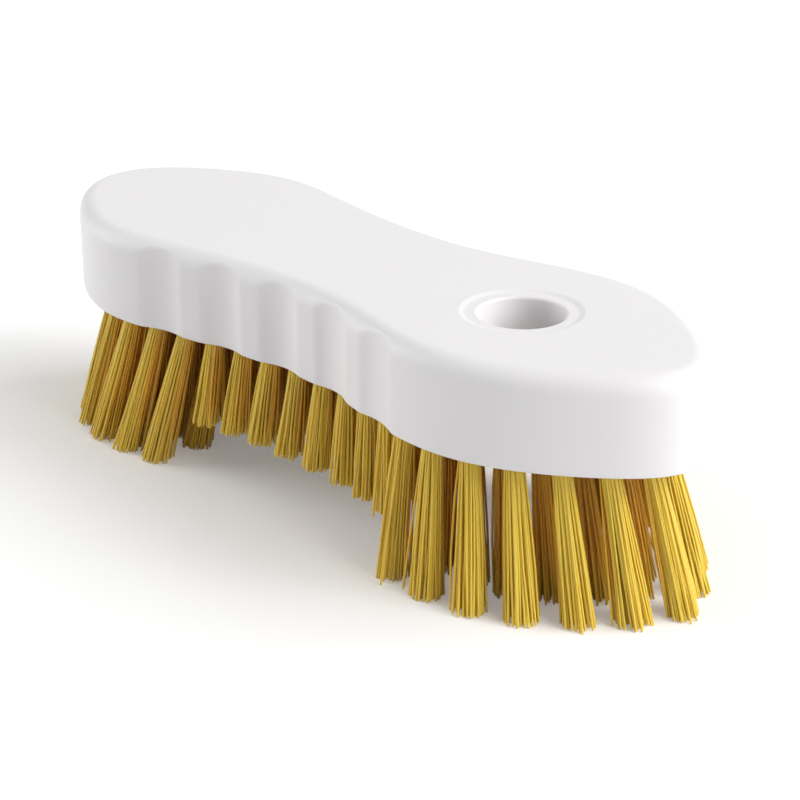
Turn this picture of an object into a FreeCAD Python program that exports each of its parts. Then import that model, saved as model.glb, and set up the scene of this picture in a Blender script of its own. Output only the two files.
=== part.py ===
"""Scrub brush: a moulded block with a waist and finger grooves, set with leaning bristle tufts.

Each tuft is folded over a wire staple at the bottom of its own blind socket in the block.
Millimetres. +X points to the end with the hanging hole, +Z up, and the long tufts stand on Z = 0.
The pieces are first laid out with Z = 0 at the block's underside, then lifted onto the tufts.
"""
import FreeCAD
import Part
import Sketcher
import bisect
import math
import os

SIZES = {
    # Block
    "block_length": 200.0,
    "heel_width": 64.0,
    "waist_width": 51.0,
    "toe_width": 67.0,
    "block_thickness": 22.8,
    "top_round": 4.6,
    # Hanging hole, in the toe
    "hang_from_toe": 50.2,
    "hang_bore": 20.0,
    "hang_rim_round": 0.7,
    "hang_recess_floor": 1.9,
    "hang_recess_slope": 1.8,
    "hang_recess_depth": 0.5,
    # Finger grooves, along both long walls
    "finger_place": -3.8,
    "finger_pitch": 19.3,
    "finger_depth": 1.35,
    "finger_radius": 16.0,
    # Rows of tufts
    "edge_inset": 6.0,
    "heel_inset": 12.5,
    "toe_inset": 12.3,
    "tip_run": 50.0,
    "row_spacing": 9.5,
    "hang_clear": 20.0,
    "heel_run": 62.0,
    "toe_run": 64.0,
    # Tufts
    "tuft_diameter": 5.5,
    "long_trim": 35.0,
    "long_foot": 7.7,
    "short_trim": 23.3,
    "short_foot": 6.8,
    "heel_waist_angle": 14.5,
    "heel_tip_angle": 16.5,
    "waist_angle": 7.0,
    "toe_waist_angle": 9.0,
    "toe_tip_angle": 20.0,
    "heel_fan_from_toe": 120.0,
    "waist_fan_from_toe": 95.0,
    "toe_fan_from_toe": 69.0,
    # Sockets and staples
    "socket_depth": 13.0,
    "socket_clearance": 0.1,
    "staple_thickness": 0.5,
    "staple_height": 2.4,
    "staple_bite": 0.7,
    "staple_roof": 1.3,
    "staple_clearance": 0.05,
    # How far a cutting shape runs past what it cuts
    "overrun": 5.0,
}

# Control points of half the outline, heel tip to toe tip: place along the block, then half width
OUTLINE_LENGTH_SHARES = (-0.5, -0.5, -0.44, -0.31, -0.19, -0.06, 0.07, 0.2, 0.32, 0.44, 0.5, 0.5)
OUTLINE_WIDTH_SHARES = (
    ("heel_width", 0.0),
    ("heel_width", 0.139),
    ("heel_width", 0.344),
    ("heel_width", 0.544),
    ("waist_width", 0.571),
    ("waist_width", 0.498),
    ("waist_width", 0.49),
    ("toe_width", 0.506),
    ("toe_width", 0.51),
    ("toe_width", 0.293),
    ("toe_width", 0.104),
    ("toe_width", 0.0),
)
OUTLINE_DEGREE = 3
NEAR_SIDE = -1
FAR_SIDE = 1
FINGERS = 5
PATH_STEPS = 600

# What each zone of the block sets its tufts to, by the names of the sizes
ZONES = {
    "heel": {
        "trim": "long_trim",
        "foot": "long_foot",
        "fan": "heel_fan_from_toe",
        "run": "heel_run",
        "waist_lean": "heel_waist_angle",
        "tip_lean": "heel_tip_angle",
    },
    "waist": {
        "trim": "short_trim",
        "foot": "short_foot",
        "fan": "waist_fan_from_toe",
        "run": "toe_run",
        "waist_lean": "waist_angle",
        "tip_lean": "waist_angle",
    },
    "toe": {
        "trim": "long_trim",
        "foot": "long_foot",
        "fan": "toe_fan_from_toe",
        "run": "toe_run",
        "waist_lean": "toe_waist_angle",
        "tip_lean": "toe_tip_angle",
    },
}
# Zone of each tuft of a row on its near side or along the middle line: up to the toe, then in it
ROW_ZONES = {
    "outer": (("heel",) * 7 + ("waist",) * 8, ("toe",) * 7),
    "inner": (("heel",) * 5 + ("waist",) * 8, ("toe",) * 6),
    "middle": (("heel",) * 5 + ("waist",) * 7, ()),
}
# Share of a step between the end of a row's run and the tuft nearest to it
HALF_STEP_SHARE = 0.5
ZONE_GAP_SHARE = 0.35
INNER_TOE_GAP_SHARE = 0.95
NO_SHARE = 0.0
# Tufts stand straighter towards the middle of the block
ROW_LEAN_SHARES = {"outer": 1.0, "inner": 0.8, "middle": 0.3}

AXIS_Y = FreeCAD.Vector(0, 1, 0)
AXIS_Z = FreeCAD.Vector(0, 0, 1)
HALF_TURN = 180.0

doc = FreeCAD.newDocument("scrub_brush")
sheet = doc.addObject("Spreadsheet::Sheet", "sizes")
for row_number, (alias, value) in enumerate(SIZES.items(), start=1):
    sheet.set(f"A{row_number}", alias.replace("_", " "))
    sheet.set(f"B{row_number}", str(value))
    sheet.setAlias(f"B{row_number}", alias)
doc.recompute()


def size(alias):
    """The number in the sheet's cell of that name."""
    return float(sheet.get(alias))


def bind(thing, **expressions):
    """Tie properties of an object to expressions in the sheet's sizes."""
    for name, expression in expressions.items():
        thing.setExpression(name, expression)
    return thing


def from_toe(alias):
    """Place along the block that lies at a size's distance from the toe's tip."""
    return size("block_length") / 2 - size(alias)


# Outline of the block
def outline_poles(side):
    """Control points of the half outline on one side, heel tip to toe tip."""
    return [
        FreeCAD.Vector(size("block_length") * along, side * size(width) * across, 0)
        for along, (width, across) in zip(OUTLINE_LENGTH_SHARES, OUTLINE_WIDTH_SHARES)
    ]


def outline_curve(side):
    """The half outline as a clamped cubic spline, square to the middle line at both tips."""
    poles = outline_poles(side)
    spans = len(poles) - OUTLINE_DEGREE
    ends = OUTLINE_DEGREE + 1
    curve = Part.BSplineCurve()
    curve.buildFromPolesMultsKnots(
        poles, [ends] + [1] * (spans - 1) + [ends], list(range(spans + 1)), False, OUTLINE_DEGREE
    )
    return curve


def inset_path(extra):
    """Points of the near half outline, moved in by the edge inset, more towards both tips, plus extra."""
    curve = outline_curve(NEAR_SIDE)
    first, last = curve.FirstParameter, curve.LastParameter
    points = []
    for step in range(PATH_STEPS + 1):
        parameter = first + (last - first) * step / PATH_STEPS
        on_wall = curve.value(parameter)
        along = curve.tangent(parameter)[0]
        inwards = FreeCAD.Vector(-along.y, along.x, 0)
        tip_inset = size("toe_inset") if on_wall.x > 0 else size("heel_inset")
        tip_share = max(0, abs(on_wall.x) - from_toe("tip_run")) / size("tip_run")
        inset = size("edge_inset") + (tip_inset - size("edge_inset")) * tip_share ** 2
        points.append(on_wall + inwards * (inset + extra))
    return points


def evenly_spaced(points, count, lead, tail):
    """Count places along a path, with shares of a step before the first one and after the last."""
    runs = [0.0]
    for before, after in zip(points, points[1:]):
        runs.append(runs[-1] + before.distanceToPoint(after))
    places = []
    for number in range(count):
        wanted = runs[-1] * (lead + number) / (lead + count - 1 + tail)
        leg = min(bisect.bisect_left(runs, wanted), len(points) - 1)
        share = (wanted - runs[leg - 1]) / (runs[leg] - runs[leg - 1])
        places.append(points[leg - 1] + (points[leg] - points[leg - 1]) * share)
    return places


def wall_at(place):
    """Point of the near wall at a place along the block, and the direction out of the wall there."""
    curve = outline_curve(NEAR_SIDE)
    low, high = curve.FirstParameter, curve.LastParameter
    for _ in range(PATH_STEPS):
        middle = (low + high) / 2
        if curve.value(middle).x < place:
            low = middle
        else:
            high = middle
    along = curve.tangent(low)[0]
    return curve.value(low), FreeCAD.Vector(along.y, -along.x, 0)


# Block: outline, pad, rounded top edge and hanging hole
def origin_plane(body, role):
    """One of a body's own origin planes."""
    return next(plane for plane in body.Origin.OriginFeatures if plane.Role == role)


def new_sketch(body, name, role):
    """An empty sketch on one of the body's origin planes."""
    sketch = body.newObject("Sketcher::SketchObject", name)
    sketch.AttachmentSupport = [(origin_plane(body, role), "")]
    sketch.MapMode = "FlatFace"
    return sketch


def tie_point(sketch, geometry, position, name, across, up):
    """Hold a sketch point at two expressions, measured from the sketch's origin."""
    point = sketch.getPoint(geometry, position)
    for kind, value, expression in (("X", point.x, across), ("Y", point.y, up)):
        number = sketch.addConstraint(
            Sketcher.Constraint("Distance" + kind, -1, 1, geometry, position, value)
        )
        sketch.renameConstraint(number, name + kind)
        sketch.setExpression("Constraints." + name + kind, expression)


def draw_outline(sketch):
    """Both half outlines, each control point tied to its shares of the block's sizes."""
    for side, side_name in ((NEAR_SIDE, "near"), (FAR_SIDE, "far")):
        spline = sketch.addGeometry(outline_curve(side), False)
        sketch.exposeInternalGeometry(spline)
        pairs = zip(OUTLINE_LENGTH_SHARES, OUTLINE_WIDTH_SHARES)
        for number, (along, (width, across)) in enumerate(pairs, start=1):
            tie_point(
                sketch,
                spline + number,
                3,
                f"{side_name}{number}",
                f"sizes.block_length * {along}",
                f"sizes.{width} * {across} * {side}",
            )


def draw_polygon(sketch, corners):
    """A closed polygon whose corners are tied to pairs of expressions in the sheet's sizes."""
    spots = []
    for across, up in corners:
        spots.append(FreeCAD.Vector(sketch.evalExpression(across), sketch.evalExpression(up), 0))
    for start, end in zip(spots, spots[1:] + spots[:1]):
        sketch.addGeometry(Part.LineSegment(start, end), False)
    for number, (across, up) in enumerate(corners):
        following = (number - 1) % len(corners)
        sketch.addConstraint(Sketcher.Constraint("Coincident", following, 2, number, 1))
        tie_point(sketch, number, 1, f"corner{number}", across, up)


def edges_where(feature, wanted):
    """Names of a feature's edges that pass a test."""
    return [f"Edge{number}" for number, edge in enumerate(feature.Shape.Edges, start=1) if wanted(edge)]


def lies_at(edge, height):
    """Whether an edge lies flat at a height."""
    box = edge.BoundBox
    return math.isclose(box.ZMin, height, abs_tol=1e-6) and math.isclose(box.ZMax, height, abs_tol=1e-6)


def make_moulding():
    """The moulded block before its finger grooves and sockets."""
    body = doc.addObject("PartDesign::Body", "moulding")
    outline = new_sketch(body, "outline", "XY_Plane")
    draw_outline(outline)
    doc.recompute()

    pad = body.newObject("PartDesign::Pad", "slab")
    pad.Profile = outline
    bind(pad, Length="sizes.block_thickness")
    doc.recompute()

    top_edge = body.newObject("PartDesign::Fillet", "top_edge")
    top_edge.Base = (pad, edges_where(pad, lambda edge: lies_at(edge, size("block_thickness"))))
    bind(top_edge, Radius="sizes.top_round")
    doc.recompute()

    section = new_sketch(body, "hang_section", "XZ_Plane")
    section.setExpression("AttachmentOffset.Base.x", "sizes.block_length / 2 - sizes.hang_from_toe")
    doc.recompute()
    recess_floor = "sizes.block_thickness - sizes.hang_recess_depth"
    floor_radius = "sizes.hang_bore / 2 + sizes.hang_rim_round + sizes.hang_recess_floor"
    recess_radius = f"{floor_radius} + sizes.hang_recess_slope"
    draw_polygon(
        section,
        (
            ("0", "-sizes.overrun"),
            ("sizes.hang_bore / 2", "-sizes.overrun"),
            ("sizes.hang_bore / 2", recess_floor),
            (floor_radius, recess_floor),
            (recess_radius, "sizes.block_thickness"),
            (recess_radius, "sizes.block_thickness + sizes.overrun"),
            ("0", "sizes.block_thickness + sizes.overrun"),
        ),
    )
    doc.recompute()
    hang_hole = body.newObject("PartDesign::Groove", "hang_hole")
    hang_hole.Profile = section
    hang_hole.ReferenceAxis = (section, ["V_Axis"])
    hang_hole.Angle = 2 * HALF_TURN
    doc.recompute()
    if hang_hole.Shape.Volume >= top_edge.Shape.Volume:
        raise RuntimeError("the hanging hole cuts nothing")

    bore_radius = size("hang_bore") / 2
    rims = edges_where(
        hang_hole,
        lambda edge: edge.Curve.TypeId == "Part::GeomCircle"
        and math.isclose(edge.Curve.Radius, bore_radius, abs_tol=1e-6),
    )
    hang_rims = body.newObject("PartDesign::Fillet", "hang_rims")
    hang_rims.Base = (hang_hole, rims)
    bind(hang_rims, Radius="sizes.hang_rim_round")
    body.Tip = hang_rims
    doc.recompute()
    return body


def make_finger_grooves():
    """Upright round bars sunk into both walls, which leave grooves that die out in the rounded top edge."""
    bars = []
    back_off = size("finger_radius") - size("finger_depth")
    for number in range(FINGERS):
        place = size("finger_place") + (number - (FINGERS - 1) / 2) * size("finger_pitch")
        on_wall, outwards = wall_at(place)
        centre = on_wall + outwards * back_off
        for side, side_name in ((NEAR_SIDE, "near"), (FAR_SIDE, "far")):
            bar = doc.addObject("Part::Cylinder", f"finger_bar_{side_name}{number}")
            bar.Placement.Base = FreeCAD.Vector(centre.x, centre.y * side / NEAR_SIDE, 0)
            bar.setExpression("Placement.Base.z", "-sizes.overrun")
            bind(bar, Radius="sizes.finger_radius", Height="sizes.block_thickness + 2 * sizes.overrun")
            bars.append(bar)
    grooves = doc.addObject("Part::MultiFuse", "finger_grooves")
    grooves.Shapes = bars
    return grooves


# Tuft, socket and staple
def tilted(lean, across, along, up):
    """Placement of a shape that stands up the socket's axis, its corner at a point of that axis's frame."""
    turn = FreeCAD.Rotation(AXIS_Y, -lean)
    return FreeCAD.Placement(turn.multVec(FreeCAD.Vector(across, along, up)), turn)


def staple_box(name, lean, gap):
    """A box across the socket where its staple lies, larger than the staple by gap on every side."""
    box = doc.addObject("Part::Box", name)
    length = "sizes.tuft_diameter + 2 * sizes.socket_clearance + 2 * sizes.staple_bite"
    bind(
        box,
        Length=f"{length} + 2 * {gap}",
        Width=f"sizes.staple_thickness + 2 * {gap}",
        Height=f"sizes.staple_height + 2 * {gap}",
    )
    doc.recompute([box])
    middle = size("socket_depth") - size("staple_roof") - size("staple_height") / 2
    box.Placement = tilted(
        lean, -box.Length.Value / 2, -box.Width.Value / 2, middle - box.Height.Value / 2
    )
    return box


def make_kind(name, zone, tip_share, lean_share):
    """Tuft, socket cutter and staple for one place along the block, leaning towards +X from the origin."""
    trim = f"sizes.{zone['trim']}"
    foot = f"sizes.{zone['foot']}"
    waist_lean = f"sizes.{zone['waist_lean']}"
    tip_lean = f"sizes.{zone['tip_lean']}"
    lean_text = f"(({waist_lean} + ({tip_lean} - {waist_lean}) * {tip_share}) * {lean_share})"
    lean = sheet.evalExpression(lean_text.replace("sizes.", ""))

    shank = doc.addObject("Part::Cylinder", f"shank_{name}")
    bind(shank, Radius="sizes.tuft_diameter / 2", Height="sizes.socket_depth - sizes.socket_clearance")
    shank.Placement = tilted(lean, 0, 0, 0)

    flare = doc.addObject("Part::Cone", f"flare_{name}")
    to_trim = f"({trim} / cos({lean_text}))"
    past_trim = f"({to_trim} + {foot} * tan({lean_text}) + sizes.overrun)"
    bind(
        flare,
        Radius1="sizes.tuft_diameter / 2",
        Radius2=f"sizes.tuft_diameter / 2 + ({foot} - sizes.tuft_diameter) / 2 * {past_trim} / {to_trim}",
        Height=past_trim,
    )
    flare.Placement = FreeCAD.Placement(FreeCAD.Vector(), FreeCAD.Rotation(AXIS_Y, HALF_TURN - lean))

    spread = doc.addObject("Part::Fuse", f"spread_{name}")
    spread.Base = shank
    spread.Tool = flare

    below_trim = doc.addObject("Part::Box", f"below_trim_{name}")
    bind(below_trim, Length=f"2 * {trim}", Width=f"2 * {trim}", Height=trim)
    below_trim.setExpression("Placement.Base.x", f"-{trim}")
    below_trim.setExpression("Placement.Base.y", f"-{trim}")
    below_trim.setExpression("Placement.Base.z", f"-2 * {trim}")

    cuts = doc.addObject("Part::Compound", f"tuft_cuts_{name}")
    cuts.Links = [below_trim, staple_box(f"slot_{name}", lean, "sizes.staple_clearance")]
    tuft = doc.addObject("Part::Cut", f"trimmed_{name}")
    tuft.Base = spread
    tuft.Tool = cuts

    drill = doc.addObject("Part::Cylinder", f"drill_{name}")
    bind(
        drill,
        Radius="sizes.tuft_diameter / 2 + sizes.socket_clearance",
        Height="sizes.socket_depth + sizes.overrun",
    )
    drill.Placement = tilted(lean, 0, 0, -size("overrun"))
    socket = doc.addObject("Part::Fuse", f"socket_{name}")
    socket.Base = drill
    socket.Tool = staple_box(f"bite_{name}", lean, "sizes.staple_clearance")

    return {"tuft": tuft, "socket": socket, "staple": staple_box(f"anchor_{name}", lean, "0")}


# Where the tufts stand
def tip_share_at(place, zone):
    """Share of a zone's run, which ends at the nearer tip of the block, that lies before a place."""
    return round((abs(place) - from_toe(zone["run"])) / size(zone["run"]), 4)


def outer_places(before_toe, in_toe):
    """Mouths of the outer row's sockets: round the near wall, the last on the middle line at the toe."""
    path = inset_path(0)
    toe_start = from_toe("toe_run")
    up_to_toe = [point for point in path if point.x < toe_start]
    round_toe = [point for point in path if point.x >= toe_start]
    return evenly_spaced(up_to_toe, before_toe, HALF_STEP_SHARE, ZONE_GAP_SHARE) + evenly_spaced(
        round_toe, in_toe, ZONE_GAP_SHARE, NO_SHARE
    )


def inner_places(before_toe, in_toe):
    """Mouths of the inner row's sockets: a row spacing inside the outer row, past the hanging hole."""
    path = inset_path(size("row_spacing"))
    toe_start = from_toe("toe_run")
    row_start = -size("row_spacing") / 2
    up_to_toe = [point for point in path if point.x < toe_start and point.y < row_start]
    round_toe = [point for point in path if point.x >= toe_start and point.y <= 0]
    return evenly_spaced(up_to_toe, before_toe, HALF_STEP_SHARE, ZONE_GAP_SHARE) + evenly_spaced(
        round_toe, in_toe, INNER_TOE_GAP_SHARE, NO_SHARE
    )


def middle_places(before_toe, in_toe):
    """Mouths of the middle row's sockets: from the heel to the clearance of the hanging hole."""
    heel_end = FreeCAD.Vector(size("heel_inset") + size("row_spacing") - size("block_length") / 2, 0, 0)
    hang_end = FreeCAD.Vector(from_toe("hang_from_toe") - size("hang_clear"), 0, 0)
    return evenly_spaced([heel_end, hang_end], before_toe + in_toe, HALF_STEP_SHARE, NO_SHARE)


ROW_PLACES = {"outer": outer_places, "inner": inner_places, "middle": middle_places}


def row_spots(row_name):
    """Zone name and socket mouth of each tuft in a row: near side heel to toe, then far side back."""
    before_toe, in_toe = ROW_ZONES[row_name]
    places = ROW_PLACES[row_name](len(before_toe), len(in_toe))
    near = list(zip(before_toe + in_toe, places))
    off_middle = [spot for spot in near if spot[1].y < -size("tuft_diameter") / 2]
    far = [(zone, FreeCAD.Vector(place.x, -place.y, 0)) for zone, place in reversed(off_middle)]
    return near + far


def fan_turn(place, zone):
    """Direction in which a tuft leans: away from its zone's fan place on the middle line."""
    away = place - FreeCAD.Vector(from_toe(zone["fan"]), 0, 0)
    return math.degrees(math.atan2(away.y, away.x))


def placed(name, source, place, turn):
    """A copy of a source shape, turned about the vertical and stood at a place."""
    copy = doc.addObject("Part::Compound", name)
    copy.Links = [source]
    copy.Placement = FreeCAD.Placement(place, FreeCAD.Rotation(AXIS_Z, turn))
    return copy


def gathered(name, members):
    """One node that holds several like pieces."""
    group = doc.addObject("Part::Compound", name)
    group.Links = members
    return group


def set_tufts():
    """Every tuft and staple as nodes by name, and every socket cutter."""
    kinds = {}
    singles = {}
    groups = {}
    sockets = []
    for row_name in ROW_ZONES:
        for number, (zone_name, place) in enumerate(row_spots(row_name), start=1):
            zone = ZONES[zone_name]
            tag = f"{row_name}_{number:02d}"
            tip_share = tip_share_at(place.x, zone)
            key = (zone_name, row_name, tip_share)
            if key not in kinds:
                kinds[key] = make_kind(tag, zone, tip_share, ROW_LEAN_SHARES[row_name])
            turn = fan_turn(place, zone)
            sockets.append(placed(f"socket_at_{tag}", kinds[key]["socket"], place, turn))
            tuft = placed(f"tuft_at_{tag}", kinds[key]["tuft"], place, turn)
            staple = placed(f"staple_at_{tag}", kinds[key]["staple"], place, turn)
            groups.setdefault(f"staples_{row_name}", []).append(staple)
            if row_name == "outer":
                singles[f"tuft_{tag}"] = tuft
            else:
                groups.setdefault(f"tufts_{row_name}_{zone_name}", []).append(tuft)
    gathers = {name: gathered(name, members) for name, members in groups.items()}
    return {**singles, **gathers}, sockets


nodes, socket_cutters = set_tufts()
moulding = make_moulding()
finger_grooves = make_finger_grooves()
doc.recompute()

# Stand the brush on its long tufts, with the middle of its length and width at the origin
pieces = [node.Shape for node in nodes.values()] + [moulding.Shape]
whole = Part.makeCompound(pieces).optimalBoundingBox(False)
lift = FreeCAD.Vector(-whole.Center.x, -whole.Center.y, size("long_trim"))

grooved = doc.addObject("Part::Cut", "grooved")
grooved.Base = moulding
grooved.Tool = finger_grooves
block = doc.addObject("Part::Cut", "socketed")
block.Base = grooved
block.Tool = gathered("sockets", socket_cutters)
nodes["block"] = block
for label, node in nodes.items():
    node.Label = label
    node.Placement.Base = node.Placement.Base + lift
doc.recompute()

failed = [thing.Name for thing in doc.Objects if "Invalid" in thing.State or "Error" in thing.State]
if failed:
    raise RuntimeError("not built: " + ", ".join(failed))
for label, node in nodes.items():
    if node.Shape.isNull() or not node.Shape.isValid():
        raise RuntimeError("bad shape: " + label)
if not block.Shape.Volume < grooved.Shape.Volume < moulding.Shape.Volume:
    raise RuntimeError("the grooves or the sockets cut nothing")

os.makedirs("parts", exist_ok=True)
for label, node in nodes.items():
    node.Shape.exportStep(f"parts/{label}.step")
print(len(nodes), "nodes,", len(socket_cutters), "tufts")
print("block moved by", lift)
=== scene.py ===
"""Looks of a scrub brush: a moulded white block, tufts of yellow filament and a pale studio.

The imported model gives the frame. The block is drawn anew as one smooth surface, each solid tuft
is drawn anew as its filaments, and the wire staples keep their solids with a metal finish.
"""

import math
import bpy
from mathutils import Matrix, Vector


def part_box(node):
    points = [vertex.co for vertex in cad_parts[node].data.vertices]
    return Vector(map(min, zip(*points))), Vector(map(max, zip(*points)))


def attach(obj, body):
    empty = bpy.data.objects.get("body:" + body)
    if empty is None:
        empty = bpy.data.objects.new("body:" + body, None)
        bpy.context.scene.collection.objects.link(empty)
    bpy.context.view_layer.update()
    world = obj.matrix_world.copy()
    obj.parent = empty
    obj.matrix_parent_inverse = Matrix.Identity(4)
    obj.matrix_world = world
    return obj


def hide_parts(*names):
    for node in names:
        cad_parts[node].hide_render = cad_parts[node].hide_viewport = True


bl_info = {
    "name": "Scrub brush",
    "version": (1, 0, 0),
    "blender": (4, 5, 0),
    "location": "3D View > Sidebar > Scrub brush",
    "description": "Builds the block, the filaments, the staples' finish and the studio of a scrub brush",
    "category": "Object",
}

import bpy
import numpy as np
from bpy.props import (
    FloatProperty,
    FloatVectorProperty,
    IntProperty,
    PointerProperty,
)

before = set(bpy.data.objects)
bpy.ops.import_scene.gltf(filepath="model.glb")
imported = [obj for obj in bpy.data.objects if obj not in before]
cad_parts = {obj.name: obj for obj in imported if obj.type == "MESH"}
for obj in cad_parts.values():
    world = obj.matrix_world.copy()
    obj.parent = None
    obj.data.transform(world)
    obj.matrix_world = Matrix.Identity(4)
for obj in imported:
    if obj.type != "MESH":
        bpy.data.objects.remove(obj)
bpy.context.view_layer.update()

MM = 0.001
BODY = "root"

BLOCK_NODE = "block"
OUTER_NODES = sorted(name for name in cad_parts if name.startswith("tuft_outer_"))
INNER_NODES = sorted(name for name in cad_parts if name.startswith("tufts_"))
STAPLE_NODES = sorted(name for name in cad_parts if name.startswith("staples_"))

BLOCK_LOW, BLOCK_HIGH = (np.array(corner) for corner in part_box(BLOCK_NODE))
UNDERSIDE = float(BLOCK_LOW[2])
BLOCK_MIDDLE = float(BLOCK_LOW[0] + BLOCK_HIGH[0]) / 2

# How the solids of the tufts are read: slack of the ring on the trim, and depth that is surely in a socket.
TRIM_SLACK = 0.01 * MM
SOCKET_INSIDE = 6 * MM

# Shares of the block's length and of its three widths that place the outline's control points.
OUTLINE_LENGTHS = np.array(
    [-0.5, -0.5, -0.44, -0.31, -0.19, -0.06, 0.07, 0.2, 0.32, 0.44, 0.5, 0.5]
)
HEEL_SHARES = np.array([0, 0.139, 0.344, 0.544])
WAIST_SHARES = np.array([0.571, 0.498, 0.49])
TOE_SHARES = np.array([0.506, 0.51, 0.293, 0.104, 0])
OUTLINE_DEGREE = 3
OUTLINE_POINTS = 720
OUTLINE_OVERSAMPLING = 8

# Rings of each part of the block's surface, and how far the rings beside an edge lie from it.
FOOT_RINGS = 5
WALL_RINGS = 26
SHOULDER_RINGS = 15
SLOPE_RINGS = 9
RIM_RINGS = 8
BORE_RINGS = 10
EDGE_NEAR = 0.1 * MM
EDGE_FAR = 2 * MM
BLOCK_SHARP = math.radians(40)

SOCKET_SIDES = 24
SOCKET_OVERRUN = 2 * MM

# Rings of a filament, as shares of its length from the mouth to the trim. The first lies in the socket.
STRAND_SHARES = np.array([-0.18, 0.0, 0.3, 0.65, 1.0])
STRAND_SIDES = 6
STRAND_SHARP = math.radians(70)
GOLDEN_ANGLE = np.pi * (3 - math.sqrt(5))
# A filament faces out of the brush from this share of the bundle's radius behind its middle; outer
# filaments that face farther in are given painted shade.
FACING_BEHIND = 0.6
# How steeply the painted shade on a filament gives way towards its trim.
SHADE_FADE_POWER = 6

LAMP_PLACES = {
    "key": (2.1, 0.4, 1.28),
    "fill": (-2.2, -1.2, 0.9),
    "back": (1.4, 1.4, 1.7),
}
SENSOR_WIDTH = 36
CLIP_START = 0.01
FLOOR_POINTS = 9


class BlockSettings(bpy.types.PropertyGroup):
    """Sizes and colour of the moulded block"""

    length: FloatProperty(
        name="Length",
        description="Block from heel to toe",
        default=float(BLOCK_HIGH[0] - BLOCK_LOW[0]),
        unit="LENGTH",
    )
    thickness: FloatProperty(
        name="Thickness",
        description="Block from its underside to its top face",
        default=float(BLOCK_HIGH[2] - BLOCK_LOW[2]),
        unit="LENGTH",
    )
    heel_width: FloatProperty(
        name="Heel width",
        description="Driving width of the lobe without the hole",
        default=64 * MM,
        unit="LENGTH",
    )
    waist_width: FloatProperty(
        name="Waist width",
        description="Driving width of the grip between the lobes",
        default=51 * MM,
        unit="LENGTH",
    )
    toe_width: FloatProperty(
        name="Toe width",
        description="Driving width of the lobe with the hole",
        default=67 * MM,
        unit="LENGTH",
    )
    top_round: FloatProperty(
        name="Top round",
        description="Radius of the edge between the wall and the top face",
        default=4.6 * MM,
        unit="LENGTH",
    )
    foot_round: FloatProperty(
        name="Foot round",
        description="Radius of the edges round the underside",
        default=0.5 * MM,
        unit="LENGTH",
    )
    hang_place: FloatProperty(
        name="Hole place",
        description="Hanging hole from the middle of the block towards the toe",
        default=49.8 * MM,
        unit="LENGTH",
    )
    hang_bore: FloatProperty(
        name="Hole bore",
        description="Diameter of the hanging hole",
        default=20 * MM,
        unit="LENGTH",
    )
    recess_width: FloatProperty(
        name="Recess width",
        description="Diameter of the shallow dish round the hole",
        default=28.8 * MM,
        unit="LENGTH",
    )
    recess_depth: FloatProperty(
        name="Recess depth",
        description="How far the dish lies below the top face",
        default=0.5 * MM,
        unit="LENGTH",
    )
    recess_slope: FloatProperty(
        name="Recess slope",
        description="Width of the slope from the top face into the dish",
        default=1.8 * MM,
        unit="LENGTH",
    )
    rim_round: FloatProperty(
        name="Rim round",
        description="Radius of the edge between the dish and the hole",
        default=0.7 * MM,
        unit="LENGTH",
    )
    finger_count: IntProperty(
        name="Finger grooves",
        description="Grooves along each side of the grip",
        default=5,
        min=1,
    )
    finger_place: FloatProperty(
        name="Groove place",
        description="Middle groove from the middle of the block",
        default=-3.8 * MM,
        unit="LENGTH",
    )
    finger_pitch: FloatProperty(
        name="Groove pitch",
        description="Distance from groove to groove",
        default=19.3 * MM,
        unit="LENGTH",
    )
    finger_depth: FloatProperty(
        name="Groove depth",
        description="Depth of a groove below its ridges",
        default=1.35 * MM,
        unit="LENGTH",
    )
    finger_radius: FloatProperty(
        name="Groove radius",
        description="Radius of the round hollow of a groove",
        default=16 * MM,
        unit="LENGTH",
    )
    finger_blend: FloatProperty(
        name="Groove blend",
        description="Softness of the edges of a groove",
        default=0.3 * MM,
        unit="LENGTH",
    )
    socket_bore: FloatProperty(
        name="Socket bore",
        description="Diameter of the hole that holds a tuft",
        default=5.7 * MM,
        unit="LENGTH",
    )
    socket_depth: FloatProperty(
        name="Socket depth",
        description="Depth of the hole that holds a tuft",
        default=13 * MM,
        unit="LENGTH",
    )
    plastic: FloatVectorProperty(
        name="Plastic",
        description="Colour of the moulded block",
        default=(0.88, 0.862, 0.868),
        subtype="COLOR",
        min=0,
        max=1,
    )


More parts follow.
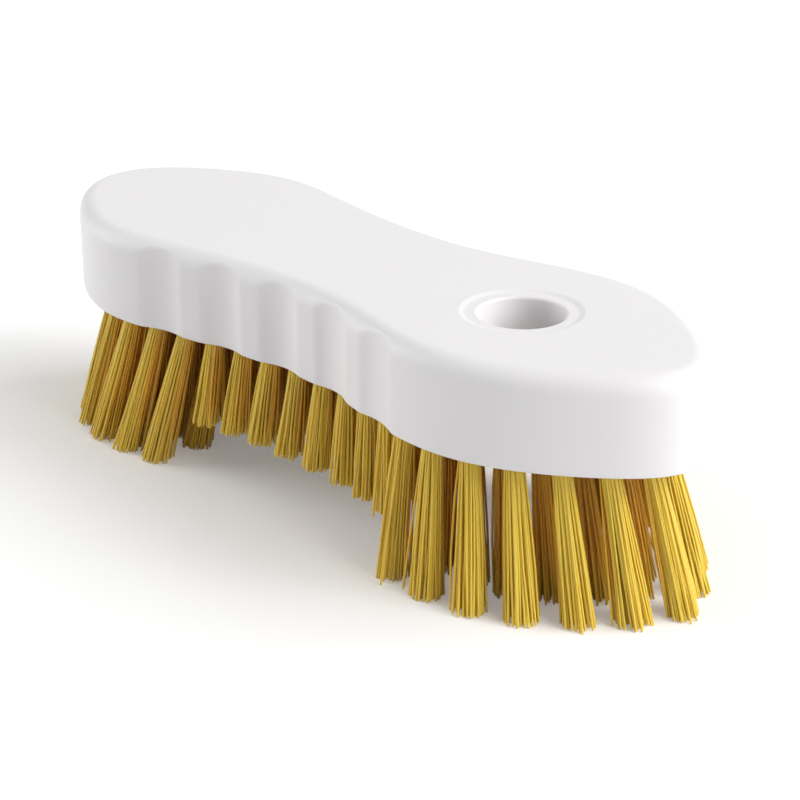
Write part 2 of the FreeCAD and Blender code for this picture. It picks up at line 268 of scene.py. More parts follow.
class BristleSettings(bpy.types.PropertyGroup):
    """Sizes and colours of the filaments"""

    strands: IntProperty(
        name="Filaments",
        description="Filaments in one tuft",
        default=80,
        min=1,
    )
    thickness: FloatProperty(
        name="Thickness",
        description="Diameter of a filament",
        default=0.52 * MM,
        unit="LENGTH",
    )
    bundle: FloatProperty(
        name="Bundle",
        description="Diameter of the tuft where it leaves its socket",
        default=4.2 * MM,
        unit="LENGTH",
    )
    spread: FloatProperty(
        name="Spread",
        description="Random sideways drift of a filament's end",
        default=0.35 * MM,
        unit="LENGTH",
    )
    stray_share: FloatProperty(
        name="Strays",
        description="Share of filaments at the toe that stand away from their tuft",
        default=0.06,
        subtype="FACTOR",
        min=0,
        max=1,
    )
    stray_reach: FloatProperty(
        name="Stray reach",
        description="How far the end of a stray filament stands away",
        default=2.6 * MM,
        unit="LENGTH",
    )
    bow: FloatProperty(
        name="Bow",
        description="Sideways bow of a filament at half its length",
        default=0.25 * MM,
        unit="LENGTH",
    )
    uneven_trim: FloatProperty(
        name="Uneven trim",
        description="How far a filament may end above the trim",
        default=0.45 * MM,
        unit="LENGTH",
    )
    bright: FloatVectorProperty(
        name="Bright filament",
        description="Colour of the palest filaments",
        default=(0.93, 0.72, 0.085),
        subtype="COLOR",
        min=0,
        max=1,
    )
    deep: FloatVectorProperty(
        name="Deep filament",
        description="Colour of the darkest filaments",
        default=(0.9, 0.66, 0.07),
        subtype="COLOR",
        min=0,
        max=1,
    )
    # Painted shade: an orange-brown colour that stands for the shade on filaments standing between others.
    painted_shade: FloatVectorProperty(
        name="Shut-in filament",
        description="Colour of filaments that stand shut in between others",
        default=(0.9, 0.5, 0.045),
        subtype="COLOR",
        min=0,
        max=1,
    )
    through: FloatVectorProperty(
        name="Light through",
        description="Colour of the light that passes through a filament",
        default=(0.98, 0.42, 0.025),
        subtype="COLOR",
        min=0,
        max=1,
    )
    through_share: FloatProperty(
        name="Share through",
        description="Share of the light that passes through a filament",
        default=0.12,
        subtype="FACTOR",
        min=0,
        max=1,
    )
    seed: IntProperty(
        name="Seed",
        description="Start of the random numbers that vary the filaments",
        default=7,
    )


class StapleSettings(bpy.types.PropertyGroup):
    """Colour of the wire staples"""

    wire: FloatVectorProperty(
        name="Wire",
        description="Colour of the staple wire",
        default=(0.62, 0.61, 0.59),
        subtype="COLOR",
        min=0,
        max=1,
    )


class StudioSettings(bpy.types.PropertyGroup):
    """Camera, lights and floor"""

    camera_place: FloatVectorProperty(
        name="Camera",
        description="Place of the camera",
        default=(BLOCK_MIDDLE + 0.3574, -0.3373, UNDERSIDE + 0.1943),
        subtype="TRANSLATION",
        unit="LENGTH",
    )
    azimuth: FloatProperty(
        name="Azimuth",
        description="Direction of the camera round the brush",
        default=math.radians(45.78),
        subtype="ANGLE",
    )
    elevation: FloatProperty(
        name="Elevation",
        description="Angle of the camera above the floor",
        default=math.radians(22.98),
        subtype="ANGLE",
    )
    lens: FloatProperty(
        name="Lens",
        description="Focal length in millimetres on a 36 mm sensor",
        default=98.2,
    )
    sky: FloatProperty(
        name="Sky",
        description="Strength of the even light from all round",
        default=0.2,
    )
    key_power: FloatProperty(
        name="Key light",
        description="Power of the soft light beyond the toe",
        default=41,
        unit="POWER",
    )
    fill_power: FloatProperty(
        name="Fill light",
        description="Power of the soft light in front of the heel",
        default=38,
        unit="POWER",
    )
    back_power: FloatProperty(
        name="Back light",
        description="Power of the soft light beyond the far side of the toe",
        default=36,
        unit="POWER",
    )
    softbox_width: FloatProperty(
        name="Softbox width",
        description="Width of each of the soft lights",
        default=1.8,
        unit="LENGTH",
    )
    floor_width: FloatProperty(
        name="Floor width",
        description="Width of the floor",
        default=6.0,
        unit="LENGTH",
    )
    floor_colour: FloatVectorProperty(
        name="Floor",
        description="Colour of the floor",
        default=(0.85, 0.85, 0.85),
        subtype="COLOR",
        min=0,
        max=1,
    )
    near_lift: FloatProperty(
        name="Near lift",
        description="Light added to the floor under the brush, as the camera sees it",
        default=0.2,
    )
    far_lift: FloatProperty(
        name="Far lift",
        description="Light added to the open floor, as the camera sees it, so that it is white",
        default=0.4,
    )
    near_reach: FloatProperty(
        name="Near reach",
        description="Distance from the brush's middle up to which the near lift holds",
        default=0.05,
        unit="LENGTH",
    )
    far_reach: FloatProperty(
        name="Far reach",
        description="Distance from the brush's middle at which the far lift is reached",
        default=0.2,
        unit="LENGTH",
    )


# Mesh helpers


def ring_faces(rings, count, wrap=False):
    """Four-cornered faces of a grid of rings with count points each, closed round every ring.

    Face (j, i) joins points i and i + 1 of rings j and j + 1. With wrap, the last ring also joins
    the first, which makes a torus.
    """
    rows = np.arange(rings if wrap else rings - 1)[:, None]
    columns = np.arange(count)[None, :]
    next_rows = (rows + 1) % rings
    next_columns = (columns + 1) % count
    corners = [
        rows * count + columns,
        rows * count + next_columns,
        next_rows * count + next_columns,
        next_rows * count + columns,
    ]
    return np.stack(np.broadcast_arrays(*corners), axis=-1).reshape(-1, 4)


def mesh_of(name, points, faces):
    """Mesh with smooth faces from an array of points and a list of faces."""
    mesh = bpy.data.meshes.new(name)
    mesh.from_pydata(points.reshape(-1, 3).tolist(), [], faces)
    mesh.polygons.foreach_set("use_smooth", np.ones(len(mesh.polygons), bool))
    mesh.update()
    if mesh.validate():
        raise RuntimeError(f"{name} has a broken face")
    return mesh


def add_object(name, data):
    """Object at the origin that shows data."""
    made = bpy.data.objects.new(name, data)
    bpy.context.scene.collection.objects.link(made)
    return made


def add_piece(name, mesh, material, slot, *nodes):
    """Piece of the brush that rides with its body and stands for the given solids."""
    mesh.materials.append(material)
    piece = add_object(name, mesh)
    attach(piece, BODY)
    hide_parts(*nodes)
    return piece


def smooth_step(share):
    """Rises from 0 to 1 as share does, with level ends: 3 s squared less 2 s cubed."""
    share = np.clip(share, 0, 1)
    return share * share * (3 - 2 * share)


# Tufts, read from the solids


def solids_of(node):
    """Corner points of each solid in a node.

    Corners at one place get one number, and the lowest number spreads over each triangle until
    nothing changes, so corners of one solid end with one number.
    """
    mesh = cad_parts[node].data
    places = np.empty(len(mesh.vertices) * 3)
    mesh.vertices.foreach_get("co", places)
    corners = np.empty(len(mesh.loops), int)
    mesh.loops.foreach_get("vertex_index", corners)
    places, same = np.unique(places.reshape(-1, 3).round(6), axis=0, return_inverse=True)
    triangles = same.reshape(-1)[corners].reshape(-1, 3)
    number = np.arange(len(places))
    while True:
        spread = number.copy()
        np.minimum.at(spread, triangles, number[triangles].min(axis=1)[:, None])
        if (spread == number).all():
            break
        number = spread
    return [places[number == one] for one in np.unique(number)]


def box_middle(points):
    """Middle of the box round points."""
    return (points.min(axis=0) + points.max(axis=0)) / 2


def tuft_of(points):
    """Mouth, foot and foot radius of a solid tuft.

    The lowest ring of corners lies on the trim. The corners well inside the socket share its axis,
    and the mouth is where that axis meets the underside of the block.
    """
    lowest = points[:, 2] < points[:, 2].min() + TRIM_SLACK
    foot = box_middle(points[lowest])
    higher = box_middle(points[points[:, 2] > UNDERSIDE + SOCKET_INSIDE])
    mouth = foot + (higher - foot) * (UNDERSIDE - foot[2]) / (higher[2] - foot[2])
    reach = np.ptp(points[lowest][:, :2], axis=0).mean() / 2
    return mouth, foot, reach


def tufts_of(node):
    """Arrays of the mouths, feet and foot radii of the tufts in a node."""
    mouths, feet, reaches = zip(*(tuft_of(points) for points in solids_of(node)))
    return np.array(mouths), np.array(feet), np.array(reaches)


# Block


def spline_basis(steps, count, degree):
    """Basis of a clamped uniform B-spline with count control points, one row for each step.

    A basis of degree 0 is 1 inside its knot span. Each higher degree adds its two neighbours below,
    one weighted by the share of its span passed and the other by the share still ahead.
    """
    spans = count - degree
    knots = np.concatenate([np.zeros(degree), np.arange(spans + 1), np.full(degree, spans)])
    steps = np.minimum(steps, spans - 1e-9)[:, None]
    basis = ((steps >= knots[:-1]) & (steps < knots[1:])).astype(float)
    for order in range(1, degree + 1):
        width = knots[order:] - knots[:-order]
        share = np.divide(
            steps - knots[:-order],
            width,
            out=np.zeros((len(steps), len(width))),
            where=width > 0,
        )
        ahead = np.where(width > 0, 1 - share, 0)
        basis = basis[:, :-1] * share[:, :-1] + basis[:, 1:] * ahead[:, 1:]
    return basis


def outline_of(block, count):
    """Count points evenly along the block's outline from above, and its outward normals.

    The near half is a cubic B-spline from heel to toe, and the far half is its mirror image. The
    normal is the tangent, taken between neighbours, turned by a right angle.
    """
    widths = np.concatenate(
        [
            block.heel_width * HEEL_SHARES,
            block.waist_width * WAIST_SHARES,
            block.toe_width * TOE_SHARES,
        ]
    )
    poles = np.stack([BLOCK_MIDDLE + block.length * OUTLINE_LENGTHS, -widths], axis=1)
    steps = np.linspace(0, len(poles) - OUTLINE_DEGREE, OUTLINE_OVERSAMPLING * count)
    near = spline_basis(steps, len(poles), OUTLINE_DEGREE) @ poles
    loop = np.concatenate([near, near[-2::-1] * (1, -1)])
    travel = np.concatenate([[0], np.linalg.norm(np.diff(loop, axis=0), axis=1).cumsum()])
    even = np.linspace(0, travel[-1], count, endpoint=False)
    points = np.stack([np.interp(even, travel, loop[:, axis]) for axis in (0, 1)], axis=1)
    tangents = np.roll(points, -1, axis=0) - np.roll(points, 1, axis=0)
    tangents /= np.linalg.norm(tangents, axis=1, keepdims=True)
    normals = np.stack([tangents[:, 1], -tangents[:, 0]], axis=1)
    return points, normals


def finger_inset(block, lengths, insets):
    """How much deeper than its own inset the finger grooves push the wall in.

    A groove is an upright round bar sunk into the wall by the groove's depth. At a distance d along
    the wall it pushes in by the root of R squared less d squared, less the part of R outside the
    wall. Half the sum of what that is over the inset and the softened size of it keeps the part
    above zero and rounds its edges, so a groove dies out where the top edge rounds away.
    """
    waves = (lengths - BLOCK_MIDDLE - block.finger_place) / block.finger_pitch
    last = (block.finger_count - 1) // 2
    along = (waves - np.clip(np.round(waves), -last, last)) * block.finger_pitch
    outside = block.finger_radius - block.finger_depth
    sunk = np.sqrt(np.maximum(0, block.finger_radius**2 - along**2)) - outside
    over = sunk - insets
    return (over + np.sqrt(over**2 + block.finger_blend**2)) / 2


def quarter_turn(steps):
    """Sines and cosines over a quarter turn, both ends included."""
    angles = np.linspace(0, np.pi / 2, steps)
    return np.sin(angles), np.cos(angles)


def wall_profile(block):
    """Inset from the outline and height of the rings from the underside over the wall to the top."""
    sine, cosine = quarter_turn(FOOT_RINGS)
    foot = np.stack([block.foot_round * (1 - sine), block.foot_round * (1 - cosine)], axis=1)
    wall_top = block.thickness - block.top_round
    wall_heights = np.linspace(block.foot_round, wall_top, WALL_RINGS)[1:-1]
    wall = np.stack([np.zeros_like(wall_heights), wall_heights], axis=1)
    sine, cosine = quarter_turn(SHOULDER_RINGS)
    shoulder = np.stack(
        [
            block.top_round * (1 - cosine),
            block.thickness - block.top_round * (1 - sine),
        ],
        axis=1,
    )
    below = [[block.foot_round + EDGE_FAR, 0], [block.foot_round + EDGE_NEAR, 0]]
    above = [
        [block.top_round + EDGE_NEAR, block.thickness],
        [block.top_round + EDGE_FAR, block.thickness],
    ]
    return np.concatenate([below, foot, wall, shoulder, above])


def hole_profile(block):
    """Radius and height of the rings from the top face into the dish and down the hanging hole."""
    bore = block.hang_bore / 2
    dish = block.recess_width / 2
    floor = block.thickness - block.recess_depth
    share = np.linspace(0, 1, SLOPE_RINGS)
    slope = np.stack(
        [
            dish - block.recess_slope * share,
            block.thickness - block.recess_depth * smooth_step(share),
        ],
        axis=1,
    )
    sine, cosine = quarter_turn(RIM_RINGS)
    rim = np.stack(
        [
            bore + block.rim_round * (1 - sine),
            floor - block.rim_round * (1 - cosine),
        ],
        axis=1,
    )
    depths = np.linspace(floor - block.rim_round, block.foot_round, BORE_RINGS)[1:-1]
    bore_wall = np.stack([np.full_like(depths, bore), depths], axis=1)
    sine, cosine = quarter_turn(FOOT_RINGS)
    foot = np.stack(
        [bore + block.foot_round * (1 - cosine), block.foot_round * (1 - sine)], axis=1
    )
    above = [[dish + EDGE_FAR, block.thickness], [dish + EDGE_NEAR, block.thickness]]
    inside = [[bore + block.rim_round + EDGE_NEAR, floor]]
    foot_edge = bore + block.foot_round
    below = [[foot_edge + EDGE_NEAR, 0], [foot_edge + EDGE_FAR, 0]]
    return np.concatenate([above, slope, inside, rim, bore_wall, foot, below])


def block_surface(block, count):
    """Points and faces of the block before its sockets are cut.

    A ring of the wall is the outline moved in along its normal by the profile's inset and the
    finger grooves. A ring of the hole is a circle whose point i lies towards point i of the
    outline. The rings follow one another over the wall, the top face, the hole and the underside,
    and close as a torus.
    """
    outline, normals = outline_of(block, count)
    insets, heights = wall_profile(block).T
    shoulder = np.where(heights > block.top_round, insets, 0)
    grooves = finger_inset(block, outline[None, :, 0], shoulder[:, None])
    inward = (insets[:, None] + grooves)[..., None] * normals
    wall = outline - inward
    middle = np.array([BLOCK_MIDDLE + block.hang_place, 0])
    towards = outline - middle
    towards /= np.linalg.norm(towards, axis=1, keepdims=True)
    radii, depths = hole_profile(block).T
    hole = middle + radii[:, None, None] * towards
    flat = np.concatenate([wall, hole])
    levels = UNDERSIDE + np.concatenate([heights, depths])
    level = np.broadcast_to(levels[:, None, None], (*flat.shape[:2], 1))
    points = np.concatenate([flat, level], axis=2)
    return points, ring_faces(len(points), count, wrap=True)


def tubes(centres, radii, sides):
    """Points and faces of round bars, closed at both ends.

    Centres has one path of points for each bar, and radii one radius for each point. Each ring is
    a level circle round its centre, and an end face closes the first and the last ring.
    """
    bars, rings = centres.shape[:2]
    angles = np.arange(sides) * 2 * np.pi / sides
    circle = np.stack([np.cos(angles), np.sin(angles), np.zeros(sides)], axis=1)
    points = centres[:, :, None, :] + radii[..., None, None] * circle
    starts = np.arange(bars)[:, None] * rings * sides
    sides_faces = (starts[:, None] + ring_faces(rings, sides)[None]).reshape(-1, 4)
    ends = np.arange(sides)[None]
    low = starts + ends[:, ::-1]
    high = starts + (rings - 1) * sides + ends
    faces = [*sides_faces.tolist(), *low.tolist(), *high.tolist()]
    return points, faces


def socket_cutter(block):
    """Object with a round bar for each socket, from below the underside to the socket's end."""
    found = [tufts_of(node) for node in OUTER_NODES + INNER_NODES]
    mouths = np.concatenate([mouths for mouths, feet, reaches in found])
    feet = np.concatenate([feet for mouths, feet, reaches in found])
    axes = mouths - feet
    axes /= np.linalg.norm(axes, axis=1, keepdims=True)
    along = np.array([-SOCKET_OVERRUN, block.socket_depth])
    centres = mouths[:, None, :] + along[:, None] * axes[:, None, :]
    radii = np.full(centres.shape[:2], block.socket_bore / 2)
    points, faces = tubes(centres, radii, SOCKET_SIDES)
    return add_object("socket_cutter", mesh_of("socket_cutter", points, faces))


def cut_sockets(piece, cutter):
    """Cuts the cutter out of a piece, and takes the result as the piece's own mesh."""
    cut = piece.modifiers.new("sockets", "BOOLEAN")
    cut.operation = "DIFFERENCE"
    cut.solver = "MANIFOLD"
    cut.object = cutter
    bpy.context.view_layer.update()
    whole = piece.data
    result = bpy.data.meshes.new_from_object(
        piece.evaluated_get(bpy.context.evaluated_depsgraph_get())
    )
    piece.modifiers.remove(cut)
    piece.data = result
    result.name = whole.name
    bpy.data.meshes.remove(whole)
    cutter_mesh = cutter.data
    bpy.data.objects.remove(cutter)
    bpy.data.meshes.remove(cutter_mesh)
    result.set_sharp_from_angle(angle=BLOCK_SHARP)


# Filaments


def strand_paths(bristle, mouths, feet, reaches, random):
    """Centre lines of the filaments of some tufts, as (filament, ring, xyz), with each ring's share
    of the length passed and how far each filament faces out of the brush, from 0 to 1.

    Filament i of n sits at the root of (i + 1/2) / n of the bundle's radius, turned by the golden
    angle from the one before, so the bundle is filled evenly. From the mouth to the foot its place
    in the bundle grows from the bundle's radius to the foot's. A random drift grows with the share
    of the length passed, and a bow is added as half a sine wave. Strays drift farther, and there
    are more of them towards the toe. A tuft leans outwards, so a filament faces out as far as its
    place in the bundle lies towards the lean.
    """
    tufts, strands = len(mouths), bristle.strands
    order = np.arange(strands)
    turn = order * GOLDEN_ANGLE + random.uniform(0, 2 * np.pi, (tufts, 1))
    out = np.sqrt((order + 0.5) / strands) * np.ones((tufts, 1))
    place = out[..., None] * np.stack([np.cos(turn), np.sin(turn)], axis=-1)
    drift = random.normal(0, bristle.spread, (tufts, strands, 2))
    toe_share = smooth_step(mouths[:, 0] / (BLOCK_HIGH[0] / 2))[:, None, None]
    stray = random.random((tufts, strands, 1)) < bristle.stray_share * toe_share
    away = random.normal(0, bristle.stray_reach / math.sqrt(2), (tufts, strands, 2))
    drift = drift + stray * away
    bow = random.normal(0, bristle.bow, (tufts, strands, 2))
    short = random.uniform(0, bristle.uneven_trim, (tufts, strands, 1))
    height = (mouths - feet)[:, 2, None, None]
    at_trim = STRAND_SHARES == STRAND_SHARES[-1]
    passed = STRAND_SHARES - at_trim * short / height
    grown = np.clip(passed, 0, 1)[..., None]
    radius = bristle.bundle / 2
    flare = radius + (reaches[:, None, None, None] - radius) * grown
    axis = mouths[:, None, None, :] + passed[..., None] * (feet - mouths)[:, None, None, :]
    aside = place[:, :, None, :] * flare
    aside = aside + drift[:, :, None, :] * grown
    aside = aside + bow[:, :, None, :] * np.sin(np.pi * grown)
    paths = axis.copy()
    paths[..., :2] += aside
    lean = (feet - mouths)[:, None, :2]
    lean = lean / np.linalg.norm(lean, axis=2, keepdims=True)
    facing = smooth_step((place * lean).sum(axis=2) + FACING_BEHIND)
    count = tufts * strands
    return paths.reshape(count, -1, 3), passed.reshape(count, -1), facing.reshape(count)


def bristle_mesh(name, bristle, node, random):
    """Mesh of all the filaments of the tufts in a node.

    Two attributes vary the colour: strand_tone is one random share for each filament, and the
    second is a painted-shade mask, 1 where a filament of the outer row faces out of the brush or
    any filament comes near its trim, and 0 where a filament stands between others and is painted
    in shade. It is the larger of the two shares, the second being the share of the length passed
    to the sixth power.
    """
    paths, passed, facing = strand_paths(bristle, *tufts_of(node), random)
    outer = node in OUTER_NODES
    radii = np.full(paths.shape[:2], bristle.thickness / 2)
    points, faces = tubes(paths[:, ::-1], radii, STRAND_SIDES)
    mesh = mesh_of(name, points, faces)
    tone = np.broadcast_to(random.random((len(paths), 1, 1)), (*paths.shape[:2], STRAND_SIDES))
    near_trim = np.clip(passed[:, ::-1, None], 0, 1) ** SHADE_FADE_POWER
    # Painted shade mask: 0 on inner-row and inward-facing filaments away from the trim, 1 near the trim and
    # on outward-facing outer filaments.
    shade_free_share = np.broadcast_to(np.maximum(near_trim, outer * facing[:, None, None]), tone.shape)
    for label, values in (("strand_tone", tone), ("strand_open", shade_free_share)):
        mesh.attributes.new(label, "FLOAT", "POINT").data.foreach_set("value", values.reshape(-1))
    mesh.set_sharp_from_angle(angle=STRAND_SHARP)
    return mesh


def add_bristles(context, nodes, start):
    """Bristle pieces for some tuft nodes, one piece for each node."""
    bristle = context.scene.scrub_bristle
    material = bristle_material(bristle)
    random = np.random.default_rng(bristle.seed + start)
    for node in nodes:
        name = node.replace("tufts", "bristles").replace("tuft", "bristles")
        add_piece(name, bristle_mesh(name, bristle, node, random), material, "bristle", node)


# Materials


def new_group(name, inputs, outputs):
    """Shader node group with float or colour sockets, and its input and output nodes."""
    group = bpy.data.node_groups.new(name, "ShaderNodeTree")
    for label, kind in inputs:
        group.interface.new_socket(label, in_out="INPUT", socket_type=kind)
    for label, kind in outputs:
        group.interface.new_socket(label, in_out="OUTPUT", socket_type=kind)
    return group, group.nodes.new("NodeGroupInput"), group.nodes.new("NodeGroupOutput")


def add_node(tree, kind, inputs=(), **values):
    """Node of a kind with its own values and its unlinked inputs set."""
    node = tree.nodes.new(kind)
    for label, value in values.items():
        setattr(node, label, value)
    for label, value in dict(inputs).items():
        node.inputs[label].default_value = value
    return node


def tone_drift():
    """Group that makes a colour a little lighter and darker over the surface.

    Soft noise from 0 to 1 gives the mask, and the colour is multiplied by 1 + amount (mask - 1/2).
    """
    name = "tone_drift"
    if name in bpy.data.node_groups:
        return bpy.data.node_groups[name]
    group, given, made = new_group(
        name,
        [
            ("Vector", "NodeSocketVector"),
            ("Color", "NodeSocketColor"),
            ("Scale", "NodeSocketFloat"),
            ("Amount", "NodeSocketFloat"),
        ],
        [("Color", "NodeSocketColor"), ("Mask", "NodeSocketFloat")],
    )
    noise = add_node(group, "ShaderNodeTexNoise", {"Detail": 3})
    centred = add_node(group, "ShaderNodeMath", {1: 0.5}, operation="SUBTRACT")
    factor = add_node(group, "ShaderNodeMath", {2: 1}, operation="MULTIPLY_ADD")
    scaled = add_node(group, "ShaderNodeVectorMath", operation="SCALE")
    link = group.links.new
    link(given.outputs["Vector"], noise.inputs["Vector"])
    link(given.outputs["Scale"], noise.inputs["Scale"])
    link(noise.outputs["Fac"], centred.inputs[0])
    link(centred.outputs[0], factor.inputs[0])
    link(given.outputs["Amount"], factor.inputs[1])
    link(given.outputs["Color"], scaled.inputs[0])
    link(factor.outputs[0], scaled.inputs["Scale"])
    link(scaled.outputs[0], made.inputs["Color"])
    link(noise.outputs["Fac"], made.inputs["Mask"])
    return group


def new_material(name):
    """Material with its node tree, its shader and its Object coordinates."""
    material = bpy.data.materials.new(name)
    material.use_nodes = True
    tree = material.node_tree
    shader = tree.nodes["Principled BSDF"]
    place = tree.nodes.new("ShaderNodeTexCoord").outputs["Object"]
    return material, tree, shader, place


def add_drift(tree, place, scale, amount):
    """Tone drift group in a material, with its own scale and amount."""
    drift = add_node(tree, "ShaderNodeGroup", node_tree=tone_drift())
    drift.inputs["Scale"].default_value = scale
    drift.inputs["Amount"].default_value = amount
    tree.links.new(place, drift.inputs["Vector"])
    return drift


def add_ramp(tree, value, low, high):
    """Map of a value from 0 to 1 onto low to high."""
    ramp = add_node(tree, "ShaderNodeMapRange", {"To Min": low, "To Max": high})
    tree.links.new(value, ramp.inputs["Value"])
    return ramp.outputs["Result"]


def add_bump(tree, place, scale, height, strength):
    """Normal from fine noise: grain of a scale, standing a height in metres proud."""
    grain = add_node(tree, "ShaderNodeTexNoise", {"Scale": scale, "Detail": 2})
    bump = add_node(tree, "ShaderNodeBump", {"Distance": height, "Strength": strength})
    tree.links.new(place, grain.inputs["Vector"])
    tree.links.new(grain.outputs["Fac"], bump.inputs["Height"])
    return bump.outputs["Normal"]


def plastic_material(block):
    """White moulded plastic: satin, with a fine spark-eroded grain and a faint drift of tone."""
    material, tree, shader, place = new_material("white_moulding")
    drift = add_drift(tree, place, scale=30, amount=0.03)
    drift.inputs["Color"].default_value = (*block.plastic, 1)
    link = tree.links.new
    link(drift.outputs["Color"], shader.inputs["Base Color"])
    link(add_ramp(tree, drift.outputs["Mask"], low=0.4, high=0.52), shader.inputs["Roughness"])
    link(add_bump(tree, place, scale=2600, height=0.03 * MM, strength=0.25), shader.inputs["Normal"])
    return material


def bristle_material(bristle):
    """Yellow filament: satin strands that differ a little in tone and let warm light through, with painted
    shade in an orange-brown colour on filaments that stand between others.
    """
    name = "yellow_filament"
    if name in bpy.data.materials:
        return bpy.data.materials[name]
    material, tree, shader, place = new_material(name)
    tone = add_node(tree, "ShaderNodeAttribute", attribute_name="strand_tone")
    colour = add_node(tree, "ShaderNodeMix", data_type="RGBA")
    colour.inputs[6].default_value = (*bristle.deep, 1)
    colour.inputs[7].default_value = (*bristle.bright, 1)
    # Painted shade: where the shade-free mask is low, the filament's colour turns to the painted shade
    # colour.
    shade_free_node = add_node(tree, "ShaderNodeAttribute", attribute_name="strand_open")
    shade_mix = add_node(tree, "ShaderNodeMix", data_type="RGBA")
    shade_mix.inputs[6].default_value = (*bristle.painted_shade, 1)
    drift = add_drift(tree, place, scale=90, amount=0.14)
    link = tree.links.new
    link(tone.outputs["Fac"], colour.inputs[0])
    link(shade_free_node.outputs["Fac"], shade_mix.inputs[0])
    link(colour.outputs[2], shade_mix.inputs[7])
    link(shade_mix.outputs[2], drift.inputs["Color"])
    link(drift.outputs["Color"], shader.inputs["Base Color"])
    link(add_ramp(tree, drift.outputs["Mask"], low=0.3, high=0.44), shader.inputs["Roughness"])
    shader.inputs["Specular IOR Level"].default_value = 0.6
    through = add_node(tree, "ShaderNodeBsdfTranslucent", {"Color": (*bristle.through, 1)})
    both = add_node(tree, "ShaderNodeMixShader", {"Fac": bristle.through_share})
    link(shader.outputs["BSDF"], both.inputs[1])
    link(through.outputs["BSDF"], both.inputs[2])
    link(both.outputs["Shader"], tree.nodes["Material Output"].inputs["Surface"])
    return material


def wire_material(staple):
    """Bright drawn wire with a fine streaked grain."""
    material, tree, shader, place = new_material("staple_wire")
    drift = add_drift(tree, place, scale=400, amount=0.2)
    drift.inputs["Color"].default_value = (*staple.wire, 1)
    shader.inputs["Metallic"].default_value = 1
    link = tree.links.new
    link(drift.outputs["Color"], shader.inputs["Base Color"])
    link(add_ramp(tree, drift.outputs["Mask"], low=0.25, high=0.45), shader.inputs["Roughness"])
    link(add_bump(tree, place, scale=5000, height=0.01 * MM, strength=0.3), shader.inputs["Normal"])
    return material


def seen_directly(tree):
    """Socket that is 1 for rays from the camera, from a mirror or through glass, and 0 for others."""
    path = tree.nodes.new("ShaderNodeLightPath")
    first = add_node(tree, "ShaderNodeMath", operation="MAXIMUM")
    both = add_node(tree, "ShaderNodeMath", operation="MAXIMUM")
    tree.links.new(path.outputs["Is Camera Ray"], first.inputs[0])
    tree.links.new(path.outputs["Is Glossy Ray"], first.inputs[1])
    tree.links.new(first.outputs[0], both.inputs[0])
    tree.links.new(path.outputs["Is Transmission Ray"], both.inputs[1])
    return both.outputs[0]


def floor_material(studio):
    """Pale matt floor that keeps the brush's shadow and is lifted to white farther out.

    The lift rises smoothly with the distance from the brush's middle.
    """
    material, tree, shader, place = new_material("pale_floor")
    drift = add_drift(tree, place, scale=6, amount=0.01)
    drift.inputs["Color"].default_value = (*studio.floor_colour, 1)
    shader.inputs["Roughness"].default_value = 0.9
    shader.inputs["Specular IOR Level"].default_value = 0.1
    shader.inputs["Emission Color"].default_value = (1, 1, 1, 1)
    link = tree.links.new
    link(drift.outputs["Color"], shader.inputs["Base Color"])
    distance = add_node(tree, "ShaderNodeVectorMath", operation="LENGTH")
    lift = add_node(
        tree,
        "ShaderNodeMapRange",
        {
            "From Min": studio.near_reach,
            "From Max": studio.far_reach,
            "To Min": studio.near_lift,
            "To Max": studio.far_lift,
        },
        interpolation_type="SMOOTHSTEP",
    )
    shown = add_node(tree, "ShaderNodeMath", operation="MULTIPLY")
    link(place, distance.inputs[0])
    link(distance.outputs["Value"], lift.inputs["Value"])
    link(lift.outputs["Result"], shown.inputs[0])
    link(seen_directly(tree), shown.inputs[1])
    link(shown.outputs[0], shader.inputs["Emission Strength"])
    return material


# Studio


def add_world(studio):
    """Even light from all round, shown as white to the camera."""
    world = bpy.data.worlds.new("studio")
    world.use_nodes = True
    tree = world.node_tree
    background = tree.nodes["Background"]
    background.inputs["Color"].default_value = (1, 1, 1, 1)
    strength = add_ramp(tree, seen_directly(tree), low=studio.sky, high=1)
    tree.links.new(strength, background.inputs["Strength"])
    bpy.context.scene.world = world


def add_softbox(name, place, width, power):
    """Square soft light at a place, turned towards the brush at the origin."""
    light = bpy.data.lights.new(name, "AREA")
    light.shape = "SQUARE"
    light.size = width
    light.energy = power
    lamp = add_object(name, light)
    lamp.location = place
    lamp.rotation_euler = (-lamp.location).to_track_quat("-Z", "Y").to_euler()


def add_floor(studio):
    """Square floor under the filaments' ends, as a grid of points at Z = 0."""
    side = np.linspace(-studio.floor_width / 2, studio.floor_width / 2, FLOOR_POINTS)
    x, y = np.meshgrid(side, side)
    points = np.stack([x, y, np.zeros_like(x)], axis=-1)
    steps = np.arange(FLOOR_POINTS - 1)
    corner = (steps[:, None] * FLOOR_POINTS + steps).reshape(-1, 1)
    faces = (corner + np.array([0, 1, FLOOR_POINTS + 1, FLOOR_POINTS])).tolist()
    floor = add_object("floor", mesh_of("floor", points, faces))
    floor.data.materials.append(floor_material(studio))


def add_camera(studio):
    """Camera at the place and direction of the photograph."""
    camera = bpy.data.cameras.new("camera")
    camera.lens = studio.lens
    camera.sensor_width = SENSOR_WIDTH
    camera.clip_start = CLIP_START
    seen = add_object("camera", camera)
    seen.location = studio.camera_place
    seen.rotation_euler = (math.pi / 2 - studio.elevation, 0, studio.azimuth)
    bpy.context.scene.camera = seen


# Operators


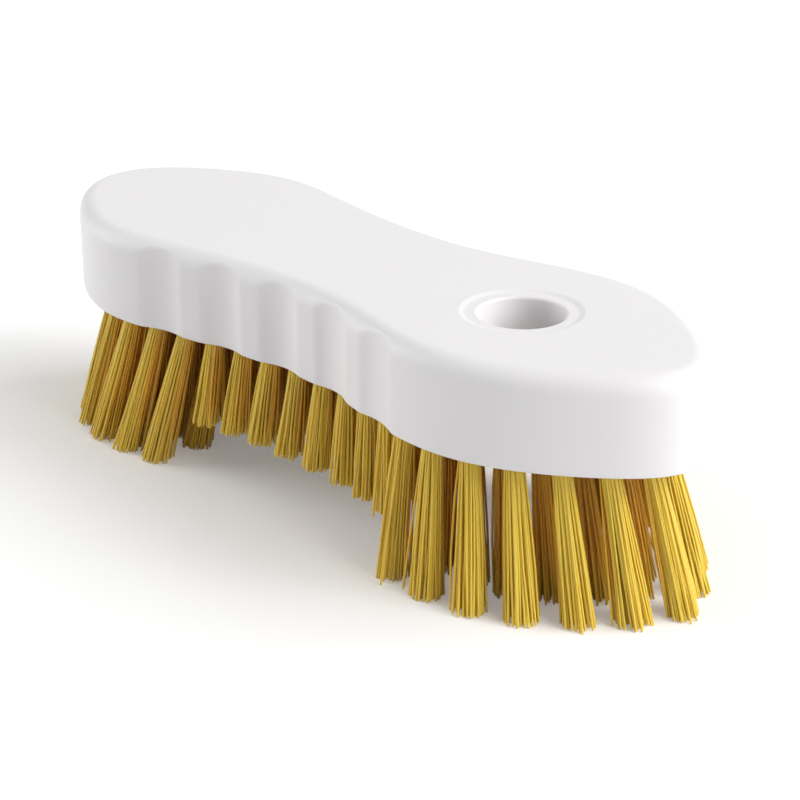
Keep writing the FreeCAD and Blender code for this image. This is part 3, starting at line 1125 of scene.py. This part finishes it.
class SCRUB_OT_block(bpy.types.Operator):
    """Draw the moulded block with its finger grooves, hanging hole and sockets"""

    bl_idname = "scrub.block"
    bl_label = "Block"

    def execute(self, context):
        block = context.scene.scrub_block
        points, faces = block_surface(block, OUTLINE_POINTS)
        mesh = mesh_of("moulded_block", points, faces.tolist())
        material = plastic_material(block)
        piece = add_piece("moulded_block", mesh, material, "block_plastic", BLOCK_NODE)
        cut_sockets(piece, socket_cutter(block))
        return {"FINISHED"}


class SCRUB_OT_outer_bristles(bpy.types.Operator):
    """Draw the filaments of the tufts round the edge"""

    bl_idname = "scrub.outer_bristles"
    bl_label = "Outer bristles"

    def execute(self, context):
        add_bristles(context, OUTER_NODES, 0)
        return {"FINISHED"}


class SCRUB_OT_inner_bristles(bpy.types.Operator):
    """Draw the filaments of the inner and middle rows"""

    bl_idname = "scrub.inner_bristles"
    bl_label = "Inner bristles"

    def execute(self, context):
        add_bristles(context, INNER_NODES, 1)
        return {"FINISHED"}


class SCRUB_OT_staples(bpy.types.Operator):
    """Give the wire staples their finish"""

    bl_idname = "scrub.staples"
    bl_label = "Staples"

    def execute(self, context):
        wire = wire_material(context.scene.scrub_staple)
        for node in STAPLE_NODES:
            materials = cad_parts[node].data.materials
            materials.clear()
            materials.append(wire)
        return {"FINISHED"}


class SCRUB_OT_studio(bpy.types.Operator):
    """Set up the floor, the lights and the camera"""

    bl_idname = "scrub.studio"
    bl_label = "Studio"

    def execute(self, context):
        studio = context.scene.scrub_studio
        context.scene.view_settings.view_transform = "Standard"
        add_world(studio)
        add_floor(studio)
        powers = {"key": studio.key_power, "fill": studio.fill_power, "back": studio.back_power}
        for name, place in LAMP_PLACES.items():
            add_softbox(name, place, studio.softbox_width, powers[name])
        add_camera(studio)
        return {"FINISHED"}


class SCRUB_PT_panel(bpy.types.Panel):
    """Lists the brush's pieces and their settings"""

    bl_idname = "SCRUB_PT_panel"
    bl_label = "Scrub brush"
    bl_space_type = "VIEW_3D"
    bl_region_type = "UI"
    bl_category = "Scrub brush"

    def draw(self, context):
        for heading, settings, operators in (
            ("Block", context.scene.scrub_block, (SCRUB_OT_block,)),
            (
                "Bristles",
                context.scene.scrub_bristle,
                (SCRUB_OT_outer_bristles, SCRUB_OT_inner_bristles),
            ),
            ("Staples", context.scene.scrub_staple, (SCRUB_OT_staples,)),
            ("Studio", context.scene.scrub_studio, (SCRUB_OT_studio,)),
        ):
            column = self.layout.column(heading=heading)
            for label in settings.__annotations__:
                column.prop(settings, label)
            for operator in operators:
                column.operator(operator.bl_idname)


CLASSES = (
    BlockSettings,
    BristleSettings,
    StapleSettings,
    StudioSettings,
    SCRUB_OT_block,
    SCRUB_OT_outer_bristles,
    SCRUB_OT_inner_bristles,
    SCRUB_OT_staples,
    SCRUB_OT_studio,
    SCRUB_PT_panel,
)
SETTINGS = {
    "scrub_block": BlockSettings,
    "scrub_bristle": BristleSettings,
    "scrub_staple": StapleSettings,
    "scrub_studio": StudioSettings,
}


def register():
    for cls in CLASSES:
        bpy.utils.register_class(cls)
    for label, settings in SETTINGS.items():
        setattr(bpy.types.Scene, label, PointerProperty(type=settings))


def unregister():
    for label in SETTINGS:
        delattr(bpy.types.Scene, label)
    for cls in reversed(CLASSES):
        bpy.utils.unregister_class(cls)


def main():
    """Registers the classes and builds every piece."""
    register()
    bpy.ops.scrub.block()
    bpy.ops.scrub.outer_bristles()
    bpy.ops.scrub.inner_bristles()
    bpy.ops.scrub.staples()
    bpy.ops.scrub.studio()


if __name__ == "__main__":
    main()
